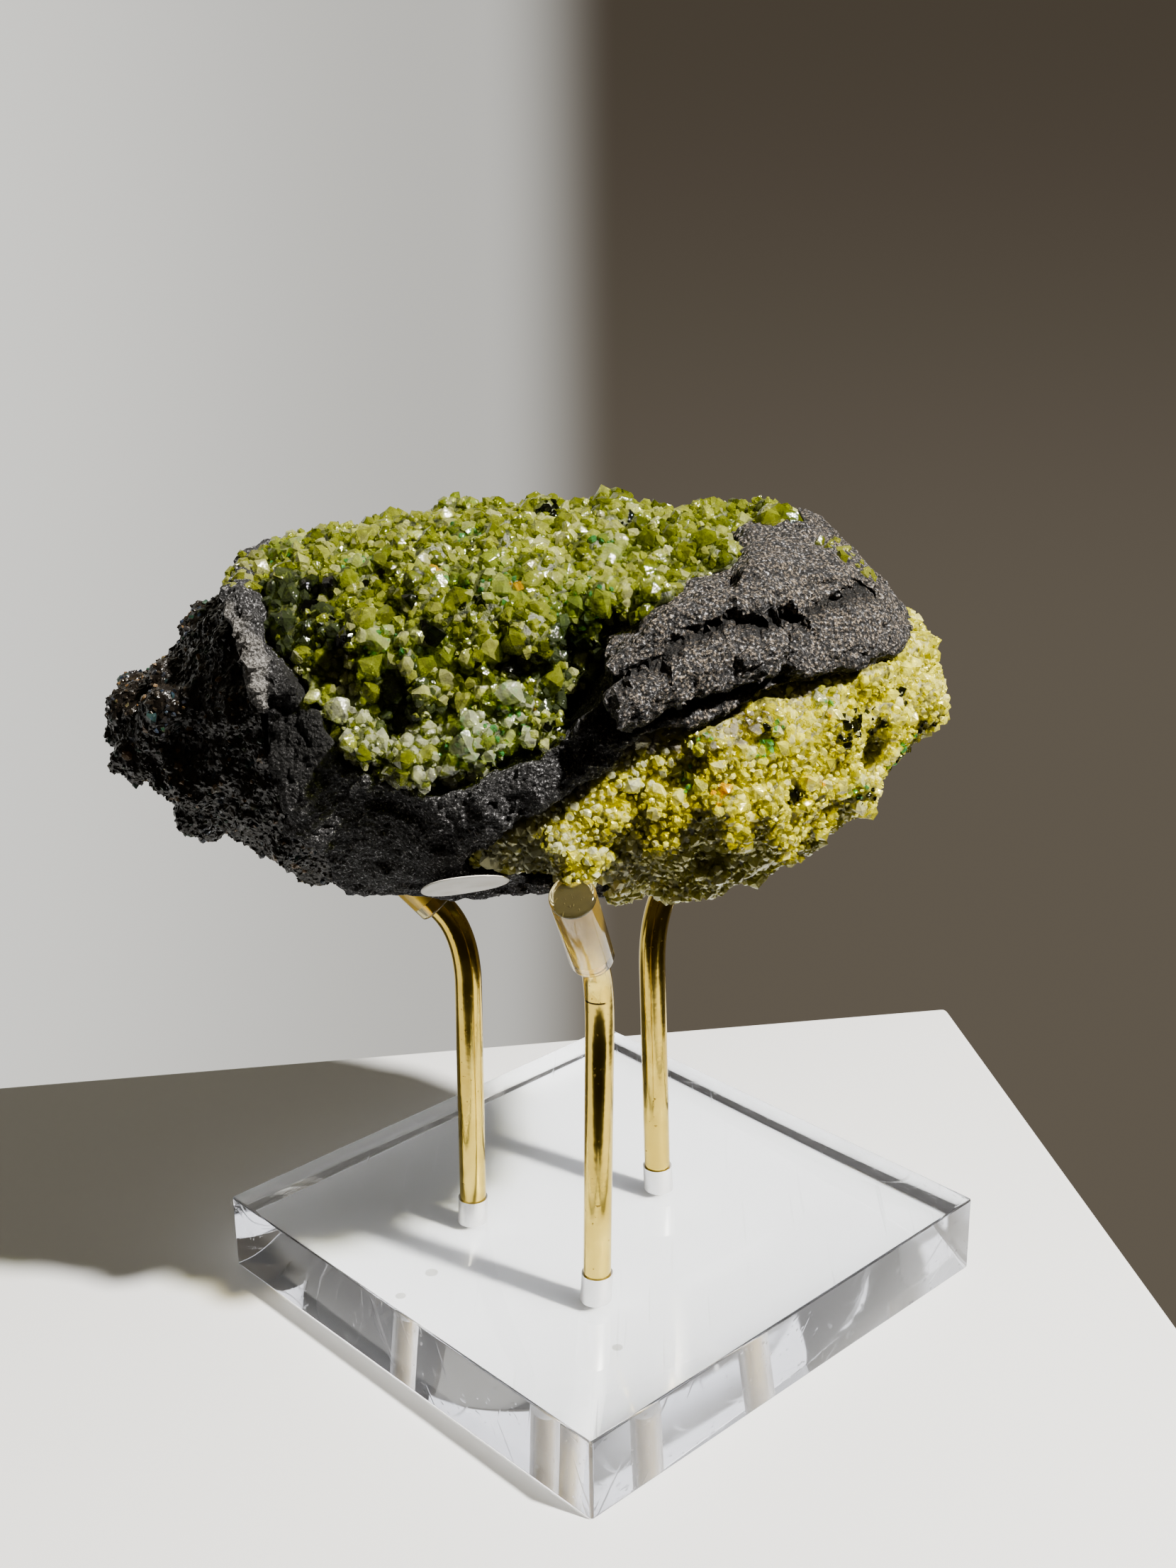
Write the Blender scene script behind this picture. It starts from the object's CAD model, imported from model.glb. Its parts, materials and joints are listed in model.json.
# %% [markdown]
# # A peridot specimen on its stand
# The object is a long piece of basalt with two masses of green peridot grains and a dark crystal
# crust at its left end. It rests on three bent brass pegs with clear caps, and the pegs stand in a
# square block of clear acrylic. The CAD model comes in first as a fixed frame: it gives every
# place and size, and each cell below makes one piece, or one finish, on it.

# %% Load the frame
import json
import math

import bmesh
import bpy
import numpy as np
from mathutils import Matrix, Vector
from mathutils.bvhtree import BVHTree

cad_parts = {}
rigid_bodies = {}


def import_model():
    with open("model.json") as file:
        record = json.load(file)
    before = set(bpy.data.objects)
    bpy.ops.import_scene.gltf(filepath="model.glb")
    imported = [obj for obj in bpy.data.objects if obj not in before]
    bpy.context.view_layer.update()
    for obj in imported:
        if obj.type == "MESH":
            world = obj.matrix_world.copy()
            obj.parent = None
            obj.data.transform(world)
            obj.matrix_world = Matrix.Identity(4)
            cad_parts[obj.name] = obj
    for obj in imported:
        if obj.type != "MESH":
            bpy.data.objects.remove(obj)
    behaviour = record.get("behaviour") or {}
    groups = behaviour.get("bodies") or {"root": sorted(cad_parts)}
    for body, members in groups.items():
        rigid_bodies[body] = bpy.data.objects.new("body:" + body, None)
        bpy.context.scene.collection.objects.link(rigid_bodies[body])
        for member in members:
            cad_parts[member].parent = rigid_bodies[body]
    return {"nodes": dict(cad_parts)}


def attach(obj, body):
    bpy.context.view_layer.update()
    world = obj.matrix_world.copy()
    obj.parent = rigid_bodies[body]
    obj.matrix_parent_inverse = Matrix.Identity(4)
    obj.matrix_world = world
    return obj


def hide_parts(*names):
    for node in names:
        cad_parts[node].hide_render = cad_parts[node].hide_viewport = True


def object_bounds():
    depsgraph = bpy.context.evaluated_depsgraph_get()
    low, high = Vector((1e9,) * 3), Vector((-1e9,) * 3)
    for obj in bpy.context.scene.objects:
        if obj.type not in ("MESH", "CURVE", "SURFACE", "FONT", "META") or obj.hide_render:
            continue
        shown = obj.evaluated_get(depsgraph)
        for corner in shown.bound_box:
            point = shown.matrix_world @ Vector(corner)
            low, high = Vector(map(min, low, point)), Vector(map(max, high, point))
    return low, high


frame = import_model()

MM = 0.001
cad_box = [list(corner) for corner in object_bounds()]
print("CAD box in mm:", [[round(v / MM, 1) for v in corner] for corner in cad_box])

# %% [markdown]
# ## Camera
# The corners of the acrylic block and the feet of the pegs fix where the camera stood: a little to
# the right of the middle, 320 mm in front and 216 mm up, looking 20 degrees down. The three unit
# vectors are the camera's own right, up and forward.

# %% Camera
camera_data = bpy.data.cameras.new("camera")
camera_data.sensor_width = 36
camera_data.lens = 44.483
camera_data.clip_start = 0.01
camera = bpy.data.objects.new("camera", camera_data)
right = Vector((0.99955422, 0.02656455, -0.01362653))
up = Vector((0.00367995, 0.34331191, 0.93921424))
forward = Vector((-0.02962796, 0.9388457, -0.34306112))
turn = Matrix((right, up, -forward)).transposed()
camera.matrix_world = Matrix.Translation(Vector((8.956, -320.004, 215.978)) * MM) @ turn.to_4x4()
scene = bpy.context.scene
scene.collection.objects.link(camera)
scene.camera = camera
print("camera at", [round(v, 3) for v in camera.location])

# %% [markdown]
# ## Small helpers for nodes
# A material or a geometry tree is a set of nodes and the links between them. `put` adds one node
# and fills in its sockets: a plain value is set on the socket, and another node's output is linked.
# A keyword that starts with a capital names a socket, n and a number count it, where several have
# one name, and any other keyword is one of the node's own settings. `dress` fills the sockets of a
# node that is there already. The owner, which tells the tree, is any node or socket in it.

# %% Node helpers
def put(owner, kind, **values):
    node = owner.id_data.nodes.new(kind)
    for key in [key for key in values if key[0].islower() and not key[1:].isdigit()]:
        setattr(node, key, values.pop(key))
    dress(node, **values)
    return node


def dress(node, **sockets):
    for key, value in sockets.items():
        wire(value, socket_of(node, key))


def socket_of(node, key):
    if key.startswith("n") and key[1:].isdigit():
        return node.inputs[int(key[1:])]
    wanted = key.replace("_", " ")
    return next(s for s in node.inputs if s.name == wanted and s.enabled)


def wire(value, socket):
    if isinstance(value, bpy.types.NodeSocket):
        socket.id_data.links.new(value, socket)
    elif socket.type == "RGBA":
        socket.default_value = (*value, 1)
    else:
        socket.default_value = value


def node_of(tree, kind):
    return next(n for n in tree.nodes if n.type == kind)


def new_material(name):
    material = bpy.data.materials.new(name)
    material.use_nodes = True
    return material, node_of(material.node_tree, "BSDF_PRINCIPLED")


# %% [markdown]
# ## Colours from nodes
# Each of these adds the nodes for one small task and returns the output that carries the result.
# `speckled_material` is a whole material: two tones mixed by noise, which also makes the bump.

# %% Colours from nodes
def owner_of(*values):
    return next(v for v in values if isinstance(v, bpy.types.NodeSocket))


def ramp(factor, stops):
    node = put(factor, "ShaderNodeValToRGB", Fac=factor)
    while len(node.color_ramp.elements) > 1:
        node.color_ramp.elements.remove(node.color_ramp.elements[-1])
    for n, (place, colour) in enumerate(stops):
        element = node.color_ramp.elements[0] if n == 0 else node.color_ramp.elements.new(place)
        element.position = place
        element.color = (*colour, 1)
    return node.outputs["Color"]


def mix_colour(factor, first, second, blend="MIX"):
    return put(owner_of(factor, first, second), "ShaderNodeMix",
               data_type="RGBA", blend_type=blend,
               n0=factor, n6=first, n7=second).outputs[2]


def surface_bump(height, strength, distance):
    return put(height, "ShaderNodeBump", Strength=strength, Distance=distance,
               Height=height).outputs["Normal"]


def object_place(owner):
    return put(owner, "ShaderNodeTexCoord").outputs["Object"]


def noise(place, scale, detail=4.0, roughness=0.55):
    return put(place, "ShaderNodeTexNoise", Vector=place, Scale=scale, Detail=detail,
               Roughness=roughness).outputs["Fac"]


def speckled_material(name, scale, tones, bump=None, stops=(0, 1), detail=4.0, **sockets):
    material, shader = new_material(name)
    grain = noise(object_place(shader), scale, detail=detail)
    dress(shader, Base_Color=ramp(grain, list(zip(stops, tones))), **sockets)
    if bump:
        dress(shader, Normal=surface_bump(grain, *bump))
    return material, shader


# %% [markdown]
# ## Table
# The specimen stands near the corner of a plain white table. The table is a real slab with eased
# edges, so the room behind it shows above its edge. Its top is a hair below the block's underside:
# the thin layer of air is what makes clear plastic mirror its own inside along the bottom.

# %% Table
def show(name, data):
    thing = bpy.data.objects.new(name, data)
    scene.collection.objects.link(thing)
    return thing


def object_from(body, name, material):
    mesh = bpy.data.meshes.new(name)
    body.to_mesh(mesh)
    body.free()
    mesh.materials.append(material)
    return show(name, mesh)


def face_outward(body):
    bmesh.ops.recalc_face_normals(body, faces=body.faces)


def bevel(body, edges, offset, segments):
    bmesh.ops.bevel(body, geom=edges, offset=offset * MM, segments=segments, profile=0.5,
                    affect="EDGES")


table_white = speckled_material("white table", 9.0, [(0.74, 0.76, 0.785), (0.80, 0.815, 0.835)],
                                detail=3.0, Roughness=0.5)[0]
table_corners = [(82.7, 110.7), (-803.0, -48.7), (-803.0, -86.0), (118.1, -86.0)]
table_thickness = 22.0
air_gap = 0.12


def table_top():
    body = bmesh.new()
    top = [body.verts.new(Vector((x, y, -air_gap)) * MM) for x, y in table_corners]
    face = body.faces.new(top)
    sides = bmesh.ops.extrude_face_region(body, geom=[face])["geom"]
    lower = [v for v in sides if isinstance(v, bmesh.types.BMVert)]
    bmesh.ops.translate(body, verts=lower, vec=(0, 0, -table_thickness * MM))
    face_outward(body)
    bevel(body, list(body.edges), 1.6, 5)
    return object_from(body, "table", table_white)


table_top()
print("table corners in mm:", table_corners)

# %% [markdown]
# ## Light
# One small, warm key light stands to the right, a little in front and about 50 degrees up, as the
# shadows of the pegs show. The world is the room: a pale wall on the left and a dark one on the
# right behind the table, and a dim room everywhere else, all a little darker and warmer overhead.
# The polished brass mirrors all of it.

# %% Lights
def smooth_step(value, low, high):
    node = put(value, "ShaderNodeMapRange", interpolation_type="SMOOTHSTEP",
               Value=value, From_Min=low, From_Max=high)
    return node.outputs["Result"]


key_direction = Vector((0.549, -0.308, 0.777)).normalized()
key_data = bpy.data.lights.new("key", "AREA")
key_data.shape = "DISK"
key_data.size = 0.06
key_data.energy = 41
key_data.color = (1.0, 0.955, 0.88)
key = show("key", key_data)
key.location = Vector((-0.01, 0, 0.08)) + key_direction * 1.2
key.rotation_euler = (-key_direction).to_track_quat("-Z", "Y").to_euler()

world = bpy.data.worlds.new("world")
scene.world = world
world.use_nodes = True
outward = put(world.node_tree, "ShaderNodeTexCoord").outputs["Generated"]
looking = put(outward, "ShaderNodeSeparateXYZ", Vector=outward).outputs


def blend_over(axis, low, high, first, second):
    return ramp(smooth_step(looking[axis], low, high), [(0, first), (1, second)])


pale_wall = blend_over("X", -0.36, -0.08, (0.82, 0.81, 0.77), (0.54, 0.53, 0.50))
dark_wall = blend_over("Z", -0.30, 0.05, (0.132, 0.114, 0.090), (0.082, 0.068, 0.052))
room = blend_over("Z", -0.2, 0.1, (0.030, 0.026, 0.020), (0.10, 0.085, 0.060))
overhead = blend_over("Z", 0.1, 0.5, (1.0, 1.0, 1.0), (0.74, 0.71, 0.62))
walls = mix_colour(smooth_step(looking["X"], -0.080, -0.012), pale_wall, dark_wall)
tone = mix_colour(smooth_step(looking["Y"], 0.1, 0.5), room, walls)
tone = mix_colour(1.0, tone, overhead, blend="MULTIPLY")
dress(node_of(world.node_tree, "BACKGROUND"), Color=tone)

scene.view_settings.view_transform = "AgX"
scene.view_settings.look = "AgX - Medium High Contrast"
scene.view_settings.exposure = 0.0
print("key light from", [round(v, 2) for v in key_direction])

# %% [markdown]
# ## Scratches
# Fine scratches and smears roughen every polished surface a little. One node group makes them:
# noise drawn out along one direction leaves thin lines, and three directions cross.

# %% Scratches
def calc(operation, *values):
    node = put(owner_of(*values), "ShaderNodeMath", operation=operation)
    for value, socket in zip(values, node.inputs):
        wire(value, socket)
    return node.outputs[0]


def times(first, second):
    return calc("MULTIPLY", first, second)


def greatest(values):
    first, *others = values
    for other in others:
        first = calc("MAXIMUM", first, other)
    return first


def scratch_group():
    group = bpy.data.node_groups.new("fine scratches", "ShaderNodeTree")
    for label, side, kind in (("Place", "INPUT", "Vector"), ("Scale", "INPUT", "Float"),
                              ("Scratches", "OUTPUT", "Float"), ("Smears", "OUTPUT", "Float")):
        group.interface.new_socket(label, in_out=side, socket_type="NodeSocket" + kind)
    inside = put(group, "NodeGroupInput")
    place, scale = inside.outputs["Place"], inside.outputs["Scale"]
    lines = []
    for angle in (0.35, 1.5, 2.4):
        turned = put(group, "ShaderNodeMapping", Vector=place, Rotation=(0.3 * angle, angle, angle),
                     Scale=(1.0, 0.025, 1.0)).outputs["Vector"]
        fine = noise(turned, scale, detail=1.0, roughness=0.4)
        lines.append(smooth_step(fine, 0.70, 0.76))
    broad = noise(place, times(scale, 0.03))
    put(group, "NodeGroupOutput", Scratches=greatest(lines), Smears=smooth_step(broad, 0.42, 0.68))
    return group


scratches = scratch_group()
print("scratches give", [s.name for s in scratches.interface.items_tree if s.in_out == "OUTPUT"])


def scratched(owner, scale):
    node = put(owner, "ShaderNodeGroup", node_tree=scratches,
               Place=object_place(owner), Scale=scale)
    return node.outputs["Scratches"], node.outputs["Smears"]


# %% [markdown]
# ## Clear plastic
# The block is polished acrylic: plain transmission with its own index of refraction. Light that
# would reach the floor through it is blocked in a path tracer unless it happens to bend the right
# way, so shadow rays pass straight through instead: that is what the Light Path node switches. The
# block is turned corner forward, so a point's |x| + |y| tells whether it is on a side face. The
# drilled walls of its holes are frosted.

# %% Clear acrylic
def scaled(value, gain, shift):
    return calc("MULTIPLY_ADD", value, gain, shift)


block_side, block_height = 100.0, 15.0
side_reach, left_reach = 70.2 * MM, 70.3 * MM
rubbed_spots = [(-29.7, -24.8, 1.0), (-34.4, -31.9, 0.8), (3.9, -46.3, 0.8)]


def let_shadow_rays_pass(shader, colour):
    passing = put(shader, "ShaderNodeBsdfTransparent", Color=colour).outputs[0]
    shadow = put(shader, "ShaderNodeLightPath").outputs["Is Shadow Ray"]
    both = put(shader, "ShaderNodeMixShader", n0=shadow, n1=shader.outputs[0], n2=passing)
    dress(node_of(shader.id_data, "OUTPUT_MATERIAL"), Surface=both.outputs[0])


clear_acrylic, shader = new_material("clear acrylic")
lines, smears = scratched(shader, 900.0)
x, y = put(shader, "ShaderNodeSeparateXYZ", Vector=object_place(shader)).outputs[:2]
spots = []
for *across, size in rubbed_spots:
    spot = Vector((*across, block_height)) * MM
    gap = put(shader, "ShaderNodeVectorMath", operation="DISTANCE",
              n0=object_place(shader), n1=spot).outputs["Value"]
    spots.append(smooth_step(gap, size * 1.3 * MM, size * MM))
off_middle = calc("ABSOLUTE", y)
far_out = calc("ADD", calc("ABSOLUTE", x), off_middle)
side_faces = calc("GREATER_THAN", far_out, side_reach)
left_faces = calc("GREATER_THAN", calc("SUBTRACT", off_middle, x), left_reach)
tone = mix_colour(side_faces, (0.90, 0.92, 0.975), (0.76, 0.79, 0.90))
rough = scaled(smears, 0.05, 0.004)
dress(shader, Base_Color=mix_colour(greatest(spots), tone, (0.42, 0.42, 0.40)),
      Transmission_Weight=0.98, IOR=1.49, Roughness=scaled(lines, 0.2, rough),
      Normal=surface_bump(lines, 0.2, 0.03 * MM))
shadow = mix_colour(left_faces, (0.60, 0.60, 0.575), (0.16, 0.15, 0.13))
let_shadow_rays_pass(shader, shadow)

frosted_bore, shader = speckled_material(
    "frosted bore", 2600.0, [(0.66, 0.63, 0.59), (0.92, 0.91, 0.89)], (0.4, 0.1 * MM),
    Transmission_Weight=0.72, IOR=1.49, Roughness=0.35)
let_shadow_rays_pass(shader, (0.75, 0.74, 0.71))
print("clear acrylic with", len(rubbed_spots), "rubbed spots, and its frosted bores")

# %% [markdown]
# ## The pegs' places
# A peg is known by three points in mm: its foot on the block's top, its knee, and its cap's tip.
# The line from foot to knee runs on down to the bottom of a blind hole 12 mm deep.

# %% Places of the pegs
pegs = {
    "left": {"foot": (-24.3, 0.4, 15), "knee": (-23.5, 0.4, 70.4), "tip": (-43.6, 1.2, 91.5)},
    "front": {"foot": (0, -24.4, 15), "knee": (1.2, -24.4, 72.1), "tip": (-2.5, -44, 96.8)},
    "back": {"foot": (11, 12, 15), "knee": (9.9, 12, 68.4), "tip": (25.1, 23, 92.8)},
}
rod_radius = 2.5
hole_depth = 12.0
for side, peg in pegs.items():
    foot, knee, tip = (Vector(peg[key]) for key in ("foot", "knee", "tip"))
    peg["rise"] = (knee - foot).normalized()
    peg["arm"] = (tip - knee).normalized()
    peg["bottom"] = foot - peg["rise"] * (hole_depth / peg["rise"].z)
    print(f"{side} peg bends by {math.degrees(peg['arm'].angle(peg['rise'])):.0f} degrees")


# %% [markdown]
# ## Handing a piece over
# `baked` turns what the modifiers make into a plain mesh. `finish_piece` hands a finished piece to
# the frame: it stays inside the CAD box, rides on the only body, takes its slot's finish, and
# stands for the CAD nodes that it replaces.

# %% Handing a piece over
def baked(thing):
    graph = bpy.context.evaluated_depsgraph_get()
    mesh = bpy.data.meshes.new_from_object(
        thing.evaluated_get(graph), preserve_all_data_layers=True, depsgraph=graph)
    mesh.name = thing.name
    if thing.type == "MESH":
        thing.modifiers.clear()
        thing.data = mesh
        return thing
    name = thing.name
    bpy.data.objects.remove(thing)
    return show(name, mesh)


def vectors_of(items, key):
    values = np.empty(len(items) * 3)
    items.foreach_get(key, values)
    return values.reshape(-1, 3)


def places_of(mesh):
    return vectors_of(mesh.vertices, "co")


def set_places(mesh, places):
    mesh.vertices.foreach_set("co", places.ravel())
    mesh.update()


def finish_piece(piece, slot, *nodes):
    set_places(piece.data, np.clip(places_of(piece.data), *cad_box))
    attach(piece, "root")
    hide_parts(*nodes)
    triangles = sum(len(p.vertices) - 2 for p in piece.data.polygons)
    print(f"{piece.name}: {triangles} triangles")


# %% [markdown]
# ## The block
# The block is 100 mm square and 15 mm thick, turned corner forward, with all its edges eased. The
# holes take the frosted material from the cutters when a boolean cuts them out.

# %% Acrylic block
def rounded_block(side, thickness, corner, edge):
    body = bmesh.new()
    bmesh.ops.create_cube(body, size=1.0)
    for vertex in body.verts:
        x, y, z = vertex.co
        vertex.co = Vector((x * side, y * side, (z + 0.5) * thickness)) * MM
    upright = [e for e in body.edges if abs(e.verts[0].co.z - e.verts[1].co.z) > MM]
    bevel(body, upright, corner, 6)
    rims = [e for e in body.edges if len({round(f.normal.z) for f in e.link_faces}) == 2]
    bevel(body, rims, edge, 3)
    bmesh.ops.rotate(body, matrix=Matrix.Rotation(math.pi / 4, 3, "Z"), verts=body.verts)
    return body


def bore(peg, radius, above=2.0):
    body = bmesh.new()
    length = hole_depth + above
    bmesh.ops.create_cone(body, cap_ends=True, segments=48, radius1=radius * MM,
                          radius2=radius * MM, depth=length * MM)
    bevel(body, [e for e in body.edges if all(v.co.z < 0 for v in e.verts)], 0.25, 2)
    centre = (peg["bottom"] + peg["rise"] * (length / 2)) * MM
    body.transform(Matrix.Translation(centre) @ turn_to(peg["rise"], (0, 0, 1)))
    return body


def turn_to(direction, start):
    return Vector(start).rotation_difference(direction).to_matrix().to_4x4()


block_body = rounded_block(block_side, block_height, 0.6, 0.35)
block = object_from(block_body, "acrylic_block", clear_acrylic)
cutters = [object_from(bore(peg, 2.8), "bore", frosted_bore) for peg in pegs.values()]
for cutter in cutters:
    cut = block.modifiers.new("bore", "BOOLEAN")
    cut.operation = "DIFFERENCE"
    cut.solver = "EXACT"
    cut.material_mode = "TRANSFER"
    cut.object = cutter
block = baked(block)
for cutter in cutters:
    bpy.data.objects.remove(cutter)
for polygon in block.data.polygons:
    polygon.use_smooth = polygon.material_index == 1
block.data.set_sharp_from_angle(angle=math.radians(30))
print("block faces by material:", np.bincount([p.material_index for p in block.data.polygons]))
finish_piece(block, "clear_acrylic", "acrylic_base")

# %% [markdown]
# ## Brass
# The rods are drawn brass, pale yellow and polished, with fine lines along them and a few darker
# specks. A metal's look is mostly what it mirrors, so the base colour is plain and the detail sits
# in the roughness and in a very shallow bump. A dark crescent high on the front rod is a seam.

# %% Polished brass
seam_height, seam_middle, rod_front = 69.9 * MM, 0.4 * MM, -24.4 * MM
polished_brass, shader = new_material("polished brass")
place = object_place(shader)
along = put(place, "ShaderNodeMapping", Vector=place, Scale=(1.0, 1.0, 0.04)).outputs["Vector"]
drawn = noise(along, 2600.0, detail=2.0)
blotch = noise(place, 130.0)
speck = smooth_step(noise(place, 1100.0, detail=2.0), 0.68, 0.74)
tone = mix_colour(smooth_step(blotch, 0.35, 0.7), (0.50, 0.37, 0.085), (0.62, 0.475, 0.13))
tone = mix_colour(times(speck, 0.7), tone, (0.16, 0.10, 0.04))
x, y, z = put(place, "ShaderNodeSeparateXYZ", Vector=place).outputs
off_seam = calc("ABSOLUTE", calc("SUBTRACT", z, seam_height))
off_middle = calc("ABSOLUTE", calc("SUBTRACT", x, seam_middle))
seam = times(smooth_step(off_seam, 0.26 * MM, 0.12 * MM),
             smooth_step(off_middle, 2.0 * MM, 1.5 * MM))
seam = times(seam, calc("LESS_THAN", y, rod_front))
rough = scaled(blotch, 0.16, 0.07)
relief = scaled(blotch, 3.0, times(drawn, 0.35))
dress(shader, Base_Color=mix_colour(seam, tone, (0.03, 0.02, 0.01)), Metallic=1.0,
      Roughness=scaled(speck, 0.2, rough), Normal=surface_bump(relief, 0.4, 0.08 * MM))
print("polished brass, with a seam at", round(seam_height / MM, 1), "mm")

# %% [markdown]
# ## Running a tree
# Geometry Nodes make every piece that repeats or follows a path. A tree starts from its named
# inputs and ends by making its instances real and giving them their material. `run_tree` sets the
# inputs by each socket's identifier.

# %% Tree for a bar along a path
def geometry_tree(name, inputs):
    tree = bpy.data.node_groups.new(name, "GeometryNodeTree")
    tree.interface.new_socket("Geometry", in_out="INPUT", socket_type="NodeSocketGeometry")
    for label, kind, value in inputs:
        socket = tree.interface.new_socket(label, in_out="INPUT", socket_type="NodeSocket" + kind)
        if value is not None:
            socket.default_value = value
    tree.interface.new_socket("Geometry", in_out="OUTPUT", socket_type="NodeSocketGeometry")
    print("inputs of the tree", name, "are", [label for label, kind, value in inputs])
    return tree, put(tree, "NodeGroupInput").outputs


def close_tree(tree, geometry, material):
    real = put(tree, "GeometryNodeRealizeInstances", Geometry=geometry).outputs[0]
    dressed = put(tree, "GeometryNodeSetMaterial", Geometry=real, Material=material).outputs[0]
    put(tree, "NodeGroupOutput", Geometry=dressed)


def run_tree(thing, tree, **values):
    modifier = thing.modifiers.new(tree.name, "NODES")
    modifier.node_group = tree
    sockets = {s.name: s.identifier for s in tree.interface.items_tree if s.in_out == "INPUT"}
    for label, value in values.items():
        modifier[sockets[label.replace("_", " ")]] = value
    return baked(thing)


bar_tree, given = geometry_tree("bar along a path", [
    ("Radius", "Float", 0.0025), ("Sides", "Int", 40), ("Material", "Material", None)])
ring = put(bar_tree, "GeometryNodeCurvePrimitiveCircle", Resolution=given["Sides"],
           Radius=given["Radius"]).outputs["Curve"]
bar = put(bar_tree, "GeometryNodeCurveToMesh", Curve=given["Geometry"], Profile_Curve=ring,
          Fill_Caps=True).outputs["Mesh"]
close_tree(bar_tree, bar, given["Material"])


# %% [markdown]
# ## Rods
# A rod is one bar that follows a path: up out of its hole, round a bend, and out along its arm. The
# path is a curve of short straight steps, and the tree sweeps a circle along it. The path's first
# and last points are narrower, which gives each cut end its small chamfer.

# %% Rods
def peg_path(peg, run_in=11.0, run_out=6.6, cap_end=1.7, chamfer=0.35, steps=32):
    knee, rise, arm = Vector(peg["knee"]), peg["rise"], peg["arm"]
    start, end = peg["bottom"] + rise * 0.3, Vector(peg["tip"]) - arm * cap_end
    bend = [knee - rise * run_in, knee, knee + arm * run_out]
    points = [start, start + rise * chamfer]
    for n in range(steps + 1):
        t = n / steps
        points.append(bend[0] * (1 - t) ** 2 + bend[1] * 2 * t * (1 - t) + bend[2] * t ** 2)
    return points + [end - arm * chamfer, end]


def rod(side, peg, end_share=0.88):
    path = peg_path(peg)
    curve = bpy.data.curves.new(f"{side}_rod", "CURVE")
    curve.dimensions = "3D"
    spline = curve.splines.new("POLY")
    spline.points.add(len(path) - 1)
    for n, (point, place) in enumerate(zip(spline.points, path)):
        point.co = (*(place * MM), 1)
        point.radius = end_share if n in (0, len(path) - 1) else 1.0
    return run_tree(show(f"{side}_rod", curve), bar_tree, Radius=rod_radius * MM, Sides=40,
                    Material=polished_brass)


for side, peg in pegs.items():
    piece = rod(side, peg)
    for polygon in piece.data.polygons:
        polygon.use_smooth = len(polygon.vertices) == 4
    finish_piece(piece, "polished_brass", f"rod_{side}")

# %% [markdown]
# ## Vinyl
# The caps are soft clear vinyl, slightly yellow and scuffed. Each holds its rod so closely that the
# bore looks like dull brass and the closed end like the rod's dark sawn face, so the bore's own
# faces carry those two materials.

# %% Clear vinyl
clear_vinyl, shader = new_material("clear vinyl")
lines, smears = scratched(shader, 700.0)
dents = calc("ADD", lines, noise(object_place(shader), 300.0))
dress(shader, Base_Color=(0.97, 0.87, 0.52), Transmission_Weight=0.97, IOR=1.52,
      Roughness=scaled(smears, 0.12, 0.06), Normal=surface_bump(dents, 0.2, 0.08 * MM))
let_shadow_rays_pass(shader, (0.84, 0.79, 0.60))

held_brass = speckled_material(
    "brass held in vinyl", 700.0, [(0.66, 0.50, 0.13), (0.84, 0.67, 0.22)], (0.5, 0.1 * MM),
    Metallic=0.85, Roughness=0.42)[0]
sawn_brass, shader = speckled_material(
    "sawn brass", 900.0, [(0.014, 0.013, 0.006), (0.055, 0.05, 0.024)], Metallic=0.7,
    Roughness=0.45)
saw_marks = scratched(shader, 1500.0)[0]
dress(shader, Normal=surface_bump(saw_marks, 0.4, 0.1 * MM))
print("a cap has", ", ".join(m.name for m in (clear_vinyl, held_brass, sawn_brass)))


# %% [markdown]
# ## Meshes of rings
# The caps and the label are both rings of points joined by faces, and a ring of a single point
# closes the end. `edit_mesh` lends a mesh to bmesh for one change.

# %% Meshes of rings
def ring_mesh(name, rings, material):
    points, faces, spans = [], [], []
    for ring in rings:
        spans.append(range(len(points), len(points) + len(ring)))
        points += ring
    for upper, lower in zip(spans, spans[1:]):
        count = max(len(upper), len(lower))
        for n in range(count):
            m = (n + 1) % count
            corners = [upper[n % len(upper)], lower[n % len(lower)],
                       lower[m % len(lower)], upper[m % len(upper)]]
            faces.append(list(dict.fromkeys(corners)))
    mesh = bpy.data.meshes.new(name)
    mesh.from_pydata(points, [], faces)
    mesh.shade_smooth()
    mesh.materials.append(material)
    return show(name, mesh)


def edit_mesh(mesh, change):
    body = bmesh.new()
    body.from_mesh(mesh)
    change(body)
    body.to_mesh(mesh)
    body.free()


# %% [markdown]
# ## Caps
# Each cap is a sleeve with one closed, rounded end. It is a body of revolution: one profile, from
# the middle of the closed end round the outside to the rolled rim and back up the bore, is turned
# about the arm's axis. The bore flares a little just before its end.

# %% Caps
def cap_profile(outer=3.8, bore_radius=2.62, flare=3.05, length=22.0, end=1.4, edge=0.7, steps=8):
    rim = (outer - bore_radius) / 2
    outside = [(0.0, 0.0), (1.6, -0.02)]
    for n in range(steps + 1):
        angle = n / steps * math.pi / 2
        outside.append((outer - edge + edge * math.sin(angle), -edge + edge * math.cos(angle)))
    for n in range(steps + 1):
        angle = n / steps * math.pi
        outside.append((outer - rim + rim * math.cos(angle), rim - length - rim * math.sin(angle)))
    inside = [(bore_radius, 2.4 - length), (bore_radius, -end - 0.6), (flare, -end), (0.0, -end)]
    return outside + inside


def turned(name, profile, segments, material):
    angles = [2 * math.pi * n / segments for n in range(segments)]
    rings = [[(radius * math.cos(angle), along, radius * math.sin(angle))
              for angle in (angles if radius else angles[:1])] for radius, along in profile]
    piece = ring_mesh(name, rings, material)
    edit_mesh(piece.data, face_outward)
    piece.data.set_sharp_from_angle(angle=math.radians(40))
    return piece


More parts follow.
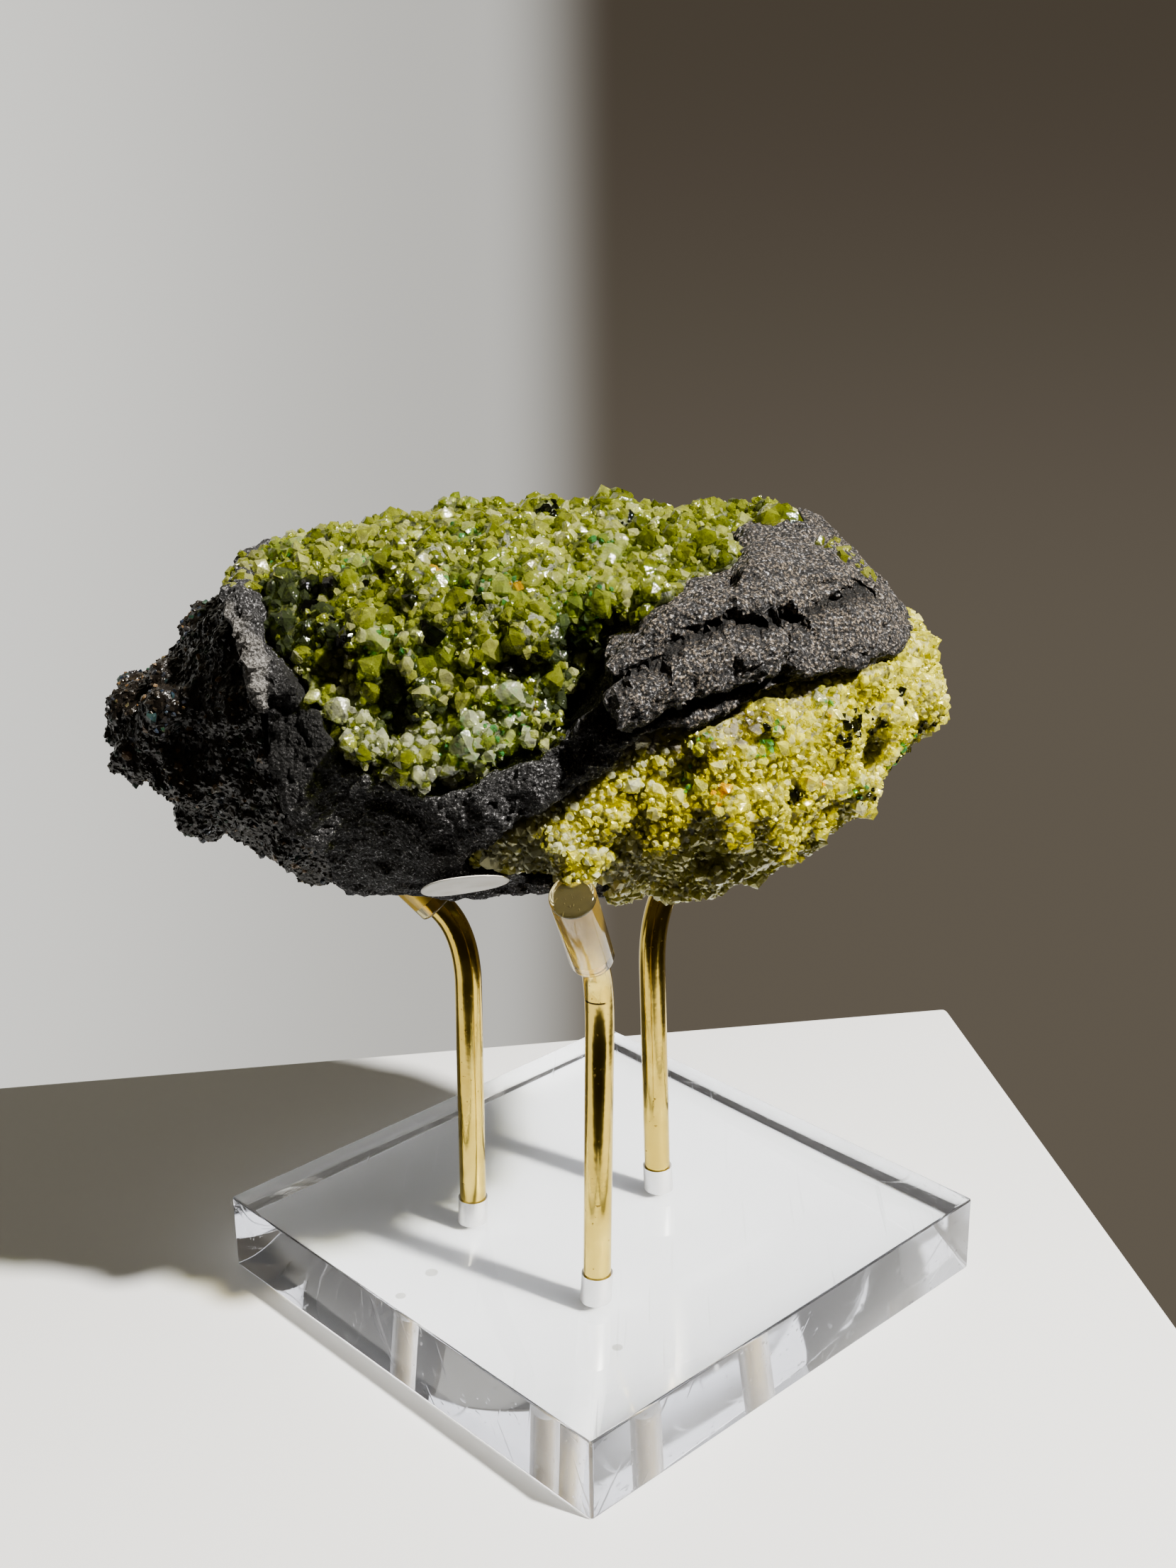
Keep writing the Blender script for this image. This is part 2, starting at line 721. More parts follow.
bore_reach = 2.9
bore_wall, bore_end = (-19.0, -1.5), (-1.45, -1.2)
for side, peg in pegs.items():
    cap = turned(f"{side}_cap", cap_profile(), 56, clear_vinyl)
    for material in (held_brass, sawn_brass):
        cap.data.materials.append(material)
    for polygon in cap.data.polygons:
        x, along, z = polygon.center
        if math.hypot(x, z) < bore_reach:
            in_bore = [low < along < high for low, high in (bore_wall, bore_end)]
            polygon.material_index = in_bore.index(True) + 1 if any(in_bore) else 0
    onto = Matrix.Translation(Vector(peg["tip"])) @ turn_to(peg["arm"], (0, 1, 0))
    cap.data.transform(Matrix.Scale(MM, 4) @ onto)
    finish_piece(cap, "clear_vinyl", f"cap_{side}")

# %% [markdown]
# ## Paper
# The label is matt white paper with fine fibres and a faint stain.

# %% White paper
white_paper, shader = new_material("white paper")
place = object_place(shader)
fibres = noise(place, 2200.0, detail=5.0)
stain = smooth_step(noise(place, 110.0), 0.45, 0.75)
dress(shader, Base_Color=mix_colour(stain, (0.86, 0.85, 0.81), (0.72, 0.70, 0.64)),
      Roughness=0.75, Normal=surface_bump(fibres, 0.3, 0.08 * MM))
print("white paper")

# %% [markdown]
# ## Label
# A round paper label sticks to the underside of the stone. It is bare here. It is a thin disc of
# rings, and its free edge curls away from the stone a little on the upper left, as paper does where
# the glue has let go.

# %% Label
label_centre = Vector((-19.8, -36.4, 95.2))


def curled_disc(radius=7.1, thickness=0.16, rings=14, segments=72, curl=0.45):
    facing = Vector((0.12, -0.535, -0.836)).normalized()
    across = Vector((1, 0, 0)).cross(facing).normalized()
    along = facing.cross(across).normalized()
    centre = label_centre - facing * 0.2
    discs = [[centre * MM]]
    for ring in range(1, rings + 1):
        share = ring / rings
        discs.append([])
        for n in range(segments):
            angle = 2 * math.pi * n / segments
            lift = curl * share ** 4 * max(0.0, math.cos(angle - 2.8)) ** 2
            radial = along * math.cos(angle) + across * math.sin(angle)
            discs[-1].append((centre + radial * (radius * share) + facing * lift) * MM)
    disc = ring_mesh("paper_label", discs, white_paper)

    def face_away(body):
        face_outward(body)
        if sum(f.normal.dot(facing) for f in body.faces) < 0:
            bmesh.ops.reverse_faces(body, faces=body.faces)

    edit_mesh(disc.data, face_away)
    solid = disc.modifiers.new("paper", "SOLIDIFY")
    solid.thickness = thickness * MM
    solid.offset = 1
    return baked(disc)


finish_piece(curled_disc(), "white_paper", "label")

# %% [markdown]
# ## The stone's solids
# The CAD model gives the stone as four faceted solids: the basalt, two masses of peridot and the
# dark crust. Each one is copied, its doubled points are merged, and a voxel remesh turns it into an
# even skin that can take fine relief. A few rounds of smoothing take off the CAD's flat facets,
# and a small swell gives back what they take away, so that neighbours still meet at the seams.

# %% Skins of the stone
def normals_of(mesh):
    return vectors_of(mesh.vertex_normals, "vector")


def skin_of(node, name, voxel, rounds, material, swell=0.3, doubled=0.01):
    mesh = frame["nodes"][node].data.copy()
    edit_mesh(mesh, lambda body: bmesh.ops.remove_doubles(body, verts=body.verts, dist=doubled * MM))
    mesh.materials.clear()
    mesh.materials.append(material)
    skin = show(name, mesh)
    remesh = skin.modifiers.new("remesh", "REMESH")
    remesh.mode = "VOXEL"
    remesh.voxel_size = voxel * MM
    remesh.use_smooth_shade = True
    smooth = skin.modifiers.new("smooth", "SMOOTH")
    smooth.factor = 0.5
    smooth.iterations = rounds
    skin = baked(skin)
    set_places(skin.data, places_of(skin.data) + normals_of(skin.data) * swell * MM)
    print(f"{name}: an even skin of {len(skin.data.vertices)} points")
    return skin


# %% [markdown]
# ## Painting by place
# The colours of a natural stone aren't even: green specks, black grains and pale crusts sit where
# they grew. `near_spots` gives every point of a mesh a value that is 1 near any of a list of places
# and fades to 0 with distance, and `store` keeps it as an attribute that grains and materials read.
# `hollow_out` sinks the surface round its places, or raises it where the depth is negative.

# %% Painted attributes
def store(mesh, name, values):
    attribute = mesh.attributes.new(name, "FLOAT", "POINT")
    attribute.data.foreach_set("value", np.asarray(values, dtype=np.float32))
    print(f"{mesh.name}: {name} covers {np.mean(np.asarray(values) > 0.3):.1%}")


def distance_to(places, *spot):
    return np.linalg.norm(places / MM - spot, axis=1)


def near_spots(mesh, spots):
    places = places_of(mesh)
    values = np.zeros(len(places))
    for x, y, z, reach in spots:
        values = np.maximum(values, np.clip(1.6 - distance_to(places, x, y, z) / reach, 0, 1))
    return values


def hollow_out(mesh, spots):
    places = places_of(mesh)
    push = np.zeros(len(places))
    for x, y, z, reach, depth in spots:
        dent = depth * np.exp(-(distance_to(places, x, y, z) / reach) ** 2)
        push = np.where(np.abs(dent) > np.abs(push), dent, push)
    set_places(mesh, places - normals_of(mesh) * push[:, None] * MM)


# %% [markdown]
# ## Places on the stone
# Each place is x, y and z in mm and a reach, read off the photograph and carried back along the
# camera's rays to the CAD surface. The hollows have a depth as well.

# %% Places on the stone
emerald_spots = [
    (-19.5, -14, 146.5, 3), (-21.5, -27.5, 143, 3), (-14, -31.5, 143.5, 4), (4, -20.5, 146, 3),
    (-2, -32, 140, 4), (-19, -44, 122, 4), (-13, -41, 121, 4), (-31.5, -36, 135, 3),
    (-35.5, -21.5, 144, 3), (-24, -38, 135.5, 3), (-12, -42, 127.5, 3), (15, -44, 116, 2),
    (27, -43.5, 120.5, 2), (28, -45, 124, 1.5), (49.5, -25, 113.5, 2.5), (41.5, -33.5, 111, 2),
    (17, -45, 121.5, 1.5), (36, -39, 127, 1.5), (-50, -10, 144, 3), (-20, 10, 147, 4), (5, 20, 145, 3),
    (20, 5, 146, 3), (-10, 28, 135, 4), (-35, 24, 138, 3), (30, 14, 122, 3),
]
black_spots = [
    (-7, -5, 148.5, 2.5), (-33.5, -26, 143.5, 2), (-29.5, -33.5, 139.5, 2), (-38.5, -34, 135, 2.5),
    (-25, -37, 136.5, 1.5), (-43, -25, 139.5, 2.5), (-17, -33.5, 140.5, 2), (-5, -42.5, 124, 1.5),
    (-9, -39, 132, 2), (7, -10, 147, 2.5), (53, -26, 119, 1.5), (44, -35, 121, 2), (40, -40, 122.5, 2),
    (32, -41.5, 112.5, 1.5), (43, -33.5, 108.5, 2), (47, -23.5, 109, 1.5), (25.5, -27.5, 94, 1.5),
    (17, -43, 109, 1.2), (27, -45, 124, 1.2), (48.5, -29.5, 124, 1.5), (50, -26, 112, 2),
    (-15, 24, 142, 2.5), (12, 18, 144, 2), (-40, 10, 146, 2.5), (20, 22, 115, 2.5),
]
amber_spots = [
    (20, -45.5, 114, 1.5), (34, -40, 115, 1.8), (36, -39, 125, 1.2), (18, -43, 109, 1.2),
    (25, -42, 124, 1.5), (-12, -31, 142.5, 1.5), (-24, -26.5, 143.5, 1.2), (-8.5, -37, 125, 1.2),
    (10, 20, 110, 2), (0, 24, 128, 2),
]
pale_spots = [
    (-37.5, -38.5, 117, 4.5), (-33.5, -39, 115, 4.5), (-29.5, -40, 114, 4.5), (-24, -44, 115, 4.5),
    (-20.5, -40, 113.5, 4.5), (-14, -41.5, 116, 4.5), (-8, -43, 119, 4.5), (-14.5, -39, 103.5, 5),
    (-8.5, -39, 102.5, 5), (-3, -42, 107, 5.5), (2, -38, 98, 5.5), (8, -43, 117, 3), (13, -43, 120, 3),
    (20, -44, 124.5, 3), (-30, -39, 121, 5), (-24, -41, 120, 5), (-18, -41.5, 121, 5),
    (-12, -41.5, 123, 4.5), (-35, -38, 124, 4),
]
shaded_spots = [
    (-52.5, -24.5, 140, 4), (-48, -24.5, 138.5, 5), (-45, -29, 135.5, 5), (-50.5, -27, 134, 5),
    (-28.5, -39, 129, 4), (-28.5, -39, 126.5, 4), (-3.5, -33, 131.5, 6), (0, -34.5, 127.5, 6),
    (-5.5, -35, 125, 4),
]
silver_spots = [
    (7, -42.5, 119.5, 2.2), (11, -44, 121.5, 2.2), (14, -42.5, 121.5, 2.4), (18.5, -45.5, 123.5, 2.2),
    (23, -43, 124, 2), (27, -44, 125.5, 2), (31.5, -39, 126.5, 2), (35, -38, 127.5, 1.8),
    (2.5, -45, 118, 2), (-1, -42.5, 114.5, 2),
]
sliver_spots = [
    (-56, -29.5, 138.5, 1.4), (-54, -32.5, 137, 1.8), (-52, -35, 134.5, 2.0), (-51, -37, 132, 1.9),
    (-50.5, -37.5, 129, 1.6), (-50, -38, 126.5, 1.1),
]
ridge_spots = [
    (38.5, -15.5, 145.5, 2.4), (40, -17.5, 144.5, 2.6), (41.5, -16.5, 143, 2.6), (43, -18, 142, 2.4),
    (44.5, -18.5, 141, 2.0), (-56, -13, 142.5, 4.0), (-55, -21, 142, 3.4),
]
sooty_spots = [
    (-44.5, -34.5, 129, 4), (-43, -37.5, 125.5, 5), (-42, -40, 121.5, 6), (-47, -39, 119, 7),
    (-53, -34, 123, 6), (-55, -31.5, 129, 5), (-58, -26.5, 135, 4),
]
upper_hollows = [
    (-0.5, -31, 131, 6, 2.5), (-1.5, -34, 124, 5, 2.5), (4, -32.5, 136, 5, 2.5),
    (-41.5, -31.5, 138.5, 6, 2.5), (-31.5, -27, 144, 2.5, 2.5), (-32, -39, 132.5, 4, 2.5),
    (-23.5, -39, 133, 3, 2.5), (-29, -39, 125.5, 4.5, 2.5), (-39, -36.5, 129.5, 4, 2.5),
    (-13.5, -40.5, 136.5, 3, 2.5), (-8.5, -36.5, 130.5, 4, 2.5), (-20.5, -40, 125, 3, 2.5),
    (-14.5, -32, 141.5, 7, -1.6), (-22.5, -35.5, 137, 5, -1.4), (-34.5, -35, 136, 4, -1.2),
]
lower_hollows = [
    (5.5, -42, 104.5, 4, 1.8), (11, -42, 100, 4, 1.8), (19, -38, 100, 3.5, 1.8),
    (4.5, -42, 111.5, 2.5, 1.2), (34, -42, 111.5, 3, 1.5), (44, -33, 116.5, 3, 1.5),
]
print("places of grains:", sum(map(len, (emerald_spots, black_spots, amber_spots, pale_spots,
                                         shaded_spots, silver_spots))))

# %% [markdown]
# ## Rock relief
# Basalt breaks with a rough, finely grained face. A Geometry Nodes tree moves every point along its
# normal by four layers, each with a depth and a size: round clusters, broad and fine noise, and
# chips, which are Voronoi cells that each stand a little higher or lower than their neighbours.

# %% Tree for rock relief
relief_tree, given = geometry_tree("rock relief", [
    ("Cluster Depth", "Float", 0.0), ("Cluster Size", "Float", 0.009),
    ("Broad Depth", "Float", 0.0004), ("Broad Size", "Float", 0.006),
    ("Fine Depth", "Float", 0.0002), ("Fine Size", "Float", 0.001),
    ("Chip Depth", "Float", 0.0), ("Chip Size", "Float", 0.003), ("Material", "Material", None)])
position = put(relief_tree, "GeometryNodeInputPosition").outputs[0]


def per_metre(label):
    return calc("DIVIDE", 1.0, given[label + " Size"])


def as_deep(label, value):
    return times(value, given[label + " Depth"])


def noise_layer(label):
    value = noise(position, per_metre(label), detail=2.0)
    return as_deep(label, scaled(value, 4.0, -2.0))


cells = put(relief_tree, "ShaderNodeTexVoronoi", feature="SMOOTH_F1", Vector=position,
            Scale=per_metre("Cluster"), Smoothness=0.25).outputs["Distance"]
clusters = as_deep("Cluster", scaled(cells, -2.0, 0.7))
chip = put(relief_tree, "ShaderNodeTexVoronoi", Vector=position, Scale=per_metre("Chip"))
chip = put(relief_tree, "ShaderNodeSeparateXYZ", Vector=chip.outputs["Color"]).outputs["X"]
chips = as_deep("Chip", calc("SUBTRACT", chip, 0.5))
layers = calc("ADD", noise_layer("Broad"), noise_layer("Fine"))
height = calc("ADD", calc("ADD", clusters, chips), layers)
normal = put(relief_tree, "GeometryNodeInputNormal").outputs[0]
offset = put(relief_tree, "ShaderNodeVectorMath", operation="SCALE", n0=normal,
             Scale=height).outputs["Vector"]
moved = put(relief_tree, "GeometryNodeSetPosition", Geometry=given["Geometry"], Offset=offset)
close_tree(relief_tree, moved.outputs[0], given["Material"])


def with_relief(skin, material, **layers):
    values = {"Material": material}
    for label, (depth, size) in layers.items():
        values[f"{label}_Depth"], values[f"{label}_Size"] = depth * MM, size * MM
    return run_tree(skin, relief_tree, **values)


# %% [markdown]
# ## Basalt
# The basalt is near black and fine on the lower left, and speckled with tan on the slabs at the
# right, where its cut crystals catch the light. One noise gives the speckle to three ramps: dark
# grains, tan dust that the painted `dusted` and the grit between Voronoi cells let through, and the
# pale ash of a sliver on the left. The painted `sooty` darkens the cracks and the lower left.

# %% Basalt
def attribute(owner, name):
    return put(owner, "ShaderNodeAttribute", attribute_name=name).outputs["Fac"]


basalt, shader = new_material("basalt")
place = object_place(shader)
speckle = noise(place, 2300.0, roughness=0.7)
grit = put(place, "ShaderNodeTexVoronoi", Vector=place, Scale=1500.0).outputs["Distance"]
cloud = noise(place, 130.0, detail=3.0)
dark_grain = ramp(speckle, [(0.38, (0.006, 0.006, 0.0065)), (0.53, (0.036, 0.036, 0.039)),
                            (0.59, (0.10, 0.10, 0.108)), (0.65, (0.58, 0.58, 0.60))])
tan_grain = ramp(speckle, [(0.40, (0.012, 0.011, 0.010)), (0.49, (0.075, 0.064, 0.054)),
                           (0.61, (0.44, 0.365, 0.285))])
ash_grain = ramp(speckle, [(0.38, (0.035, 0.034, 0.033)), (0.60, (0.33, 0.32, 0.31))])
dust = times(attribute(shader, "dusted"), smooth_step(grit, 0.68, 0.22))
dust = times(dust, scaled(cloud, 2.2, -0.25))
tone = mix_colour(dust, dark_grain, tan_grain)
tone = mix_colour(attribute(shader, "ashen"), tone, ash_grain)
soot = times(attribute(shader, "sooty"), 0.85)
relief = scaled(grit, -0.8, speckle)
dress(shader, Base_Color=mix_colour(soot, tone, (0.002, 0.002, 0.002)),
      Roughness=scaled(speckle, -0.7, 1.0), Normal=surface_bump(relief, 1.0, 0.6 * MM))
print("basalt")

# %% [markdown]
# ## Split slabs
# On the right the basalt has split along two cracks that climb to the right. The slab above the
# upper crack leans back into shade towards it. The one between the cracks comes to a ridge, so its
# upper half catches the light, and further right the ridge fades into a plain slope. The cracks'
# heights at each x are read off a polyline and waver a little. The face is pushed in or out by how
# far a point lies from them, and a narrow groove runs along the upper one. What comes back is how
# dark each point is for lying in a crack.

# %% Carving the slabs
upper_crack = [(5.9, 132.1), (9.6, 133.8), (13.4, 136.0), (17.2, 137.9), (20.3, 139.0), (27.8, 138.7),
               (33.2, 138.7), (36.9, 140.1), (40.9, 140.4), (44.9, 139.5), (51.0, 140.0)]
lower_crack = [(5.5, 123.6), (7.7, 124.4), (12.6, 127.1), (17.1, 128.7), (21.7, 129.3), (25.5, 130.4),
               (29.0, 131.0), (34.7, 130.9), (40.3, 131.9), (44.6, 132.3), (52.0, 130.8)]


def carve_slabs(mesh, lean=2.6, lean_height=6.5, ridge=2.8, crest=0.62, slope=1.3, fade_from=28.5,
                fade_length=4, step=1.8, groove=1.4):
    places = places_of(mesh) / MM
    x, y, z = places.T
    facing = np.clip((-normals_of(mesh)[:, 1] - 0.05) / 0.35, 0, 1) * (x > 4.5) * (y < -12)
    waver = 0.35 * np.sin(2.1 * x) + 0.3 * np.sin(0.9 * x + 1)
    high, low = (np.interp(x, *zip(*crack)) + waver for crack in (upper_crack, lower_crack))
    width = 0.75 + 0.25 * np.sin(1.3 * x) * np.sin(0.37 * x)
    in_high, in_low = (np.clip(1.5 - np.abs(z - crack) / width, 0, 1) for crack in (high, low))
    leaning = lean * np.clip(1 - (z - high) / lean_height, 0, 1) ** 2
    share = np.clip((z - low) / (high - low), 0, 1)
    crested = ridge * (1 - np.abs(share - crest) / crest)
    faded = np.clip((x - fade_from) / fade_length, 0, 1)
    ridged = crested + faded * (slope * share - crested)
    over = np.clip(0.5 + (z - high) / step, 0, 1)
    push = (1 - over) * ridged - over * leaning - groove * in_high
    places[:, 1] -= push * facing
    set_places(mesh, places * MM)
    print("slabs carved at", int(np.sum(facing * np.abs(push) > 0.2)), "points")
    return facing * np.maximum(in_high, 0.7 * in_low)


# %% [markdown]
# ## The basalt
# The rock is dusted with tan to the right of a slanting line. The ash sliver stands a little
# proud, and the rock is hollowed under the label, so that no chip pokes through the paper. A few
# places on its ridge are left open for grains.

# %% Basalt matrix
matrix_skin = skin_of("basalt_matrix", "basalt_matrix_rock", 0.66, 2, basalt)
cracks = carve_slabs(matrix_skin.data)
x, y, z = places_of(matrix_skin.data).T / MM
ash = near_spots(matrix_skin.data, sliver_spots)
soot = np.clip(near_spots(matrix_skin.data, sooty_spots) - ash, 0, 1)
store(matrix_skin.data, "dusted", np.clip((x + 4 + 0.9 * (z - 128)) / 16, 0, 1))
store(matrix_skin.data, "ashen", ash)
store(matrix_skin.data, "sooty", np.maximum(soot, cracks))
raised_sliver = [(*spot[:3], 2.0, -0.8) for spot in sliver_spots]
under_label = [(*label_centre, 9, 1.0)]
hollow_out(matrix_skin.data, raised_sliver + under_label)
matrix_rock = with_relief(matrix_skin, basalt, Cluster=(0.25, 3.8), Broad=(0.5, 6),
                          Fine=(0.3, 1.4), Chip=(0.9, 3.6))
matrix_rock.data.shade_flat()
store(matrix_rock.data, "open", near_spots(matrix_rock.data, ridge_spots) > 0.5)
finish_piece(matrix_rock, "basalt", "basalt_matrix")

# %% [markdown]
# ## Grain shapes
# Peridot grains are rounded crystals with broken faces. Each shape here is the convex hull of a few
# points on a slightly squashed ball, so it has only a few dozen faces. The large grains choose among
# finer shapes than the small ones, because there are thousands of those.

# %% Grain shapes
def grain_shape(name, seed, corners):
    random = np.random.default_rng(seed)
    n = np.arange(corners)
    height = 1 - 2 * (n + 0.5) / corners
    around = n * math.pi * (3 - math.sqrt(5)) + random.normal(0, 0.35, corners)
    level = np.sqrt(1 - height ** 2)
    ball = np.stack([level * np.cos(around), level * np.sin(around), height], axis=1)
    ball *= random.uniform(0.80, 1.10, (corners, 1)) * random.uniform(0.65, 1.25, 3)
    body = bmesh.new()
    for corner in ball:
        body.verts.new(corner)
    hull = bmesh.ops.convex_hull(body, input=body.verts)
    bmesh.ops.delete(body, geom=list(set(hull["geom_interior"])), context="VERTS")
    face_outward(body)
    mesh = bpy.data.meshes.new(name)
    body.to_mesh(mesh)
    body.free()
    return bpy.data.objects.new(name, mesh)


def grain_collection(name, count, corners, seed):
    group = bpy.data.collections.new(name)
    for n in range(count):
        group.objects.link(grain_shape(f"{name}_{n:02d}", seed + n, corners))
    return group


large_shapes = grain_collection("large grains", 10, 16, 100)
small_shapes = grain_collection("small grains", 8, 9, 200)

# %% [markdown]
# ## Scattering grains
# The grains sit on their skin like a crust of beads. The tree spreads points over the skin no
# closer than a given spacing, and only where the skin is open; puts a random grain on each, turned
# at random and sunk a little way in; and keeps each grain's size and a tint value of its own.

# %% Tree for grains on a skin
grain_tree, given = geometry_tree("grains on a skin", [
    ("Shapes", "Collection", None), ("Spacing", "Float", 0.002), ("Smallest", "Float", 0.001),
    ("Largest", "Float", 0.0015), ("Sink", "Float", 0.3), ("Seed", "Int", 1),
    ("Material", "Material", None)])
most_points = 4e6


def random_value(kind, low, high, step):
    node = put(grain_tree, "FunctionNodeRandomValue", data_type=kind)
    seed = calc("ADD", given["Seed"], float(step))
    dress(node, Min=low, Max=high, Seed=seed)
    return next(s for s in node.outputs if s.enabled)


def keep_value(geometry, name, value, domain):
    return put(grain_tree, "GeometryNodeStoreNamedAttribute",
               data_type="FLOAT", domain=domain,
               Geometry=geometry, Name=name, Value=value).outputs[0]


def kept_value(name):
    return put(grain_tree, "GeometryNodeInputNamedAttribute", data_type="FLOAT",
               Name=name).outputs["Attribute"]


spread = put(grain_tree, "GeometryNodeDistributePointsOnFaces",
             distribute_method="POISSON", Mesh=given["Geometry"],
             Distance_Min=given["Spacing"], Density_Max=most_points,
             Density_Factor=kept_value("open"), Seed=given["Seed"]).outputs
size = random_value("FLOAT", given["Smallest"], given["Largest"], 1)
turn = random_value("FLOAT_VECTOR", (0.0, 0.0, 0.0), (6.283, 6.283, 6.283), 2)
sunk = times(times(size, given["Sink"]), -1.0)
inward = put(grain_tree, "ShaderNodeVectorMath", operation="SCALE",
             n0=spread["Normal"], Scale=sunk).outputs[0]
sized = keep_value(spread["Points"], "size", size, "POINT")
placed = put(grain_tree, "GeometryNodeSetPosition", Geometry=sized, Offset=inward).outputs[0]
shapes = put(grain_tree, "GeometryNodeCollectionInfo", Collection=given["Shapes"],
             Separate_Children=True, Reset_Children=True).outputs[0]
grains = put(grain_tree, "GeometryNodeInstanceOnPoints", Points=placed, Instance=shapes,
             Pick_Instance=True, Rotation=turn, Scale=kept_value("size")).outputs[0]
tinted = keep_value(grains, "tint", random_value("FLOAT", 0.0, 1.0, 3), "INSTANCE")
close_tree(grain_tree, tinted, given["Material"])


# %% [markdown]
# ## Grains on a skin
# A skin is open where nothing of the neighbouring solids lies just outside it, so no grain grows
# into a seam. The layers of a mass share one skin and differ in shapes, spacing, size and depth.

# %% Grains on a skin
stone_nodes = ["basalt_matrix", "peridot_upper", "peridot_lower", "dark_crystal_crust"]


def open_faces(mesh, node, reach=1.6):
    points, faces = [], []
    for other in (frame["nodes"][n].data for n in stone_nodes if n != node):
        start = len(points)
        points += [v.co.copy() for v in other.vertices]
        faces += [[start + n for n in p.vertices] for p in other.polygons]
    nearby = BVHTree.FromPolygons(points, faces)
    rays = zip(places_of(mesh), normals_of(mesh))
    store(mesh, "open", [nearby.ray_cast(Vector(place), Vector(normal), reach * MM)[0] is None
                         for place, normal in rays])


def grains_on(skin, name, shapes, spacing, smallest, largest, sink, seed, material):
    layer = run_tree(
        show(name, skin.data.copy()), grain_tree, Shapes=shapes, Spacing=spacing * MM,
        Smallest=smallest * MM, Largest=largest * MM, Sink=sink, Seed=seed, Material=material)
    layer.data.shade_flat()
    return layer


# %% [markdown]
# ## Peridot
# Peridot is green glass-like olivine, so its grains are see-through. Each grain reads its own tint
# value: most are yellow-green, some nearly clear, some deep olive. The painted attributes turn some
# grains pale, shaded, silvery, emerald, amber or black: a number made from the tint decides which,
# and only small grains turn wholly emerald. The upper mass is greener, the lower more golden.

# %% Peridot
painted_grains = [
    ("pale", 0.85, 3.1, (0.76, 0.78, 0.60)), ("shaded", 0.85, 5.3, (0.10, 0.125, 0.065)),
    ("silver", 0.75, 11.9, (0.40, 0.38, 0.35)), ("emerald", 0.5, 17.3, (0.14, 0.42, 0.18)),
    ("amber", 0.5, 29.9, (0.80, 0.46, 0.04)), ("black", 0.75, 41.7, (0.004, 0.005, 0.004)),
]
emerald_wash, largest_emerald = (0.34, 0.52, 0.20), 0.85 * MM


def peridot_material(name, stops, shadow, clear, glint):
    material, shader = new_material(name)
    place = object_place(shader)
    tint = attribute(shader, "tint")
    cloudy = noise(place, 900.0, detail=3.0)
    region = noise(place, 120.0, detail=2.0)
    shade = calc("ADD", tint, scaled(cloudy, 0.3, -0.15))
    shade = calc("ADD", shade, scaled(region, 0.8, -0.4))
    tone = ramp(shade, stops)
    for spot, share, seed, colour in painted_grains:
        chance = calc("FRACT", times(tint, seed))
        amount = times(attribute(shader, spot), share)
        if spot == "emerald":
            tone = mix_colour(times(amount, 0.5), tone, emerald_wash)
            small = calc("LESS_THAN", attribute(shader, "size"), largest_emerald)
            amount = times(amount, small)
        tone = mix_colour(calc("GREATER_THAN", amount, chance), tone, colour)
    broken = scaled(noise(place, 3000.0, detail=2.0), 0.5, cloudy)
    dress(shader, Base_Color=tone, Transmission_Weight=clear, Specular_Tint=glint, IOR=1.66,
          Roughness=scaled(cloudy, 0.3, -0.07),
          Normal=surface_bump(broken, 0.5, 0.3 * MM))
    let_shadow_rays_pass(shader, shadow)
    print(f"{name}: {len(stops)} tones, {len(painted_grains)} painted kinds")
    return material


green_peridot = peridot_material("green peridot", [
    (0.0, (0.16, 0.19, 0.02)), (0.35, (0.38, 0.42, 0.07)), (0.7, (0.60, 0.63, 0.18)),
    (1.0, (0.82, 0.83, 0.48))], (0.42, 0.46, 0.14), 0.75, (1.0, 1.0, 1.0))
golden_peridot = peridot_material("golden peridot", [
    (0.0, (0.46, 0.445, 0.06)), (0.35, (0.72, 0.70, 0.15)), (0.7, (0.86, 0.845, 0.29)),
    (1.0, (0.96, 0.94, 0.56))], (0.80, 0.78, 0.32), 0.62, (1.0, 0.94, 0.55))
green_bed, golden_bed = (
    speckled_material(name, 900.0, tones, (0.8, 0.4 * MM), (0.35, 0.6), Roughness=0.5)[0]
    for name, tones in (("green bed", [(0.010, 0.014, 0.004), (0.09, 0.105, 0.025)]),
                        ("golden bed", [(0.05, 0.047, 0.009), (0.30, 0.285, 0.06)])))


# %% [markdown]
# ## Peridot masses
# A mass is a dark bed, lumpy and hollowed, with three layers of grains: large ones far apart, and
# two finer ones that fill between them. Each layer gives its name, shapes, spacing, smallest and
# largest size, and how deep its grains sink in.

# %% Peridot masses
def peridot_mass(node, name, material, bed, hollows, lumps, layers, slot):
    skin = skin_of(node, f"{name}_bed", 0.9, 8, bed, swell=0.45)
    open_faces(skin.data, node)
    hollow_out(skin.data, hollows)
    skin = with_relief(skin, bed, Cluster=(lumps, 8.5), Broad=(0.5, 12), Fine=(0.3, 3))
    for spot, spots in (("emerald", emerald_spots), ("black", black_spots), ("amber", amber_spots),
                        ("pale", pale_spots), ("shaded", shaded_spots), ("silver", silver_spots)):
        store(skin.data, spot, near_spots(skin.data, spots))
    for seed, (layer_name, *sizes) in enumerate(layers, 7):
        finish_piece(grains_on(skin, f"{name}_{layer_name}", *sizes, seed, material), slot, node)
    finish_piece(skin, slot, node)


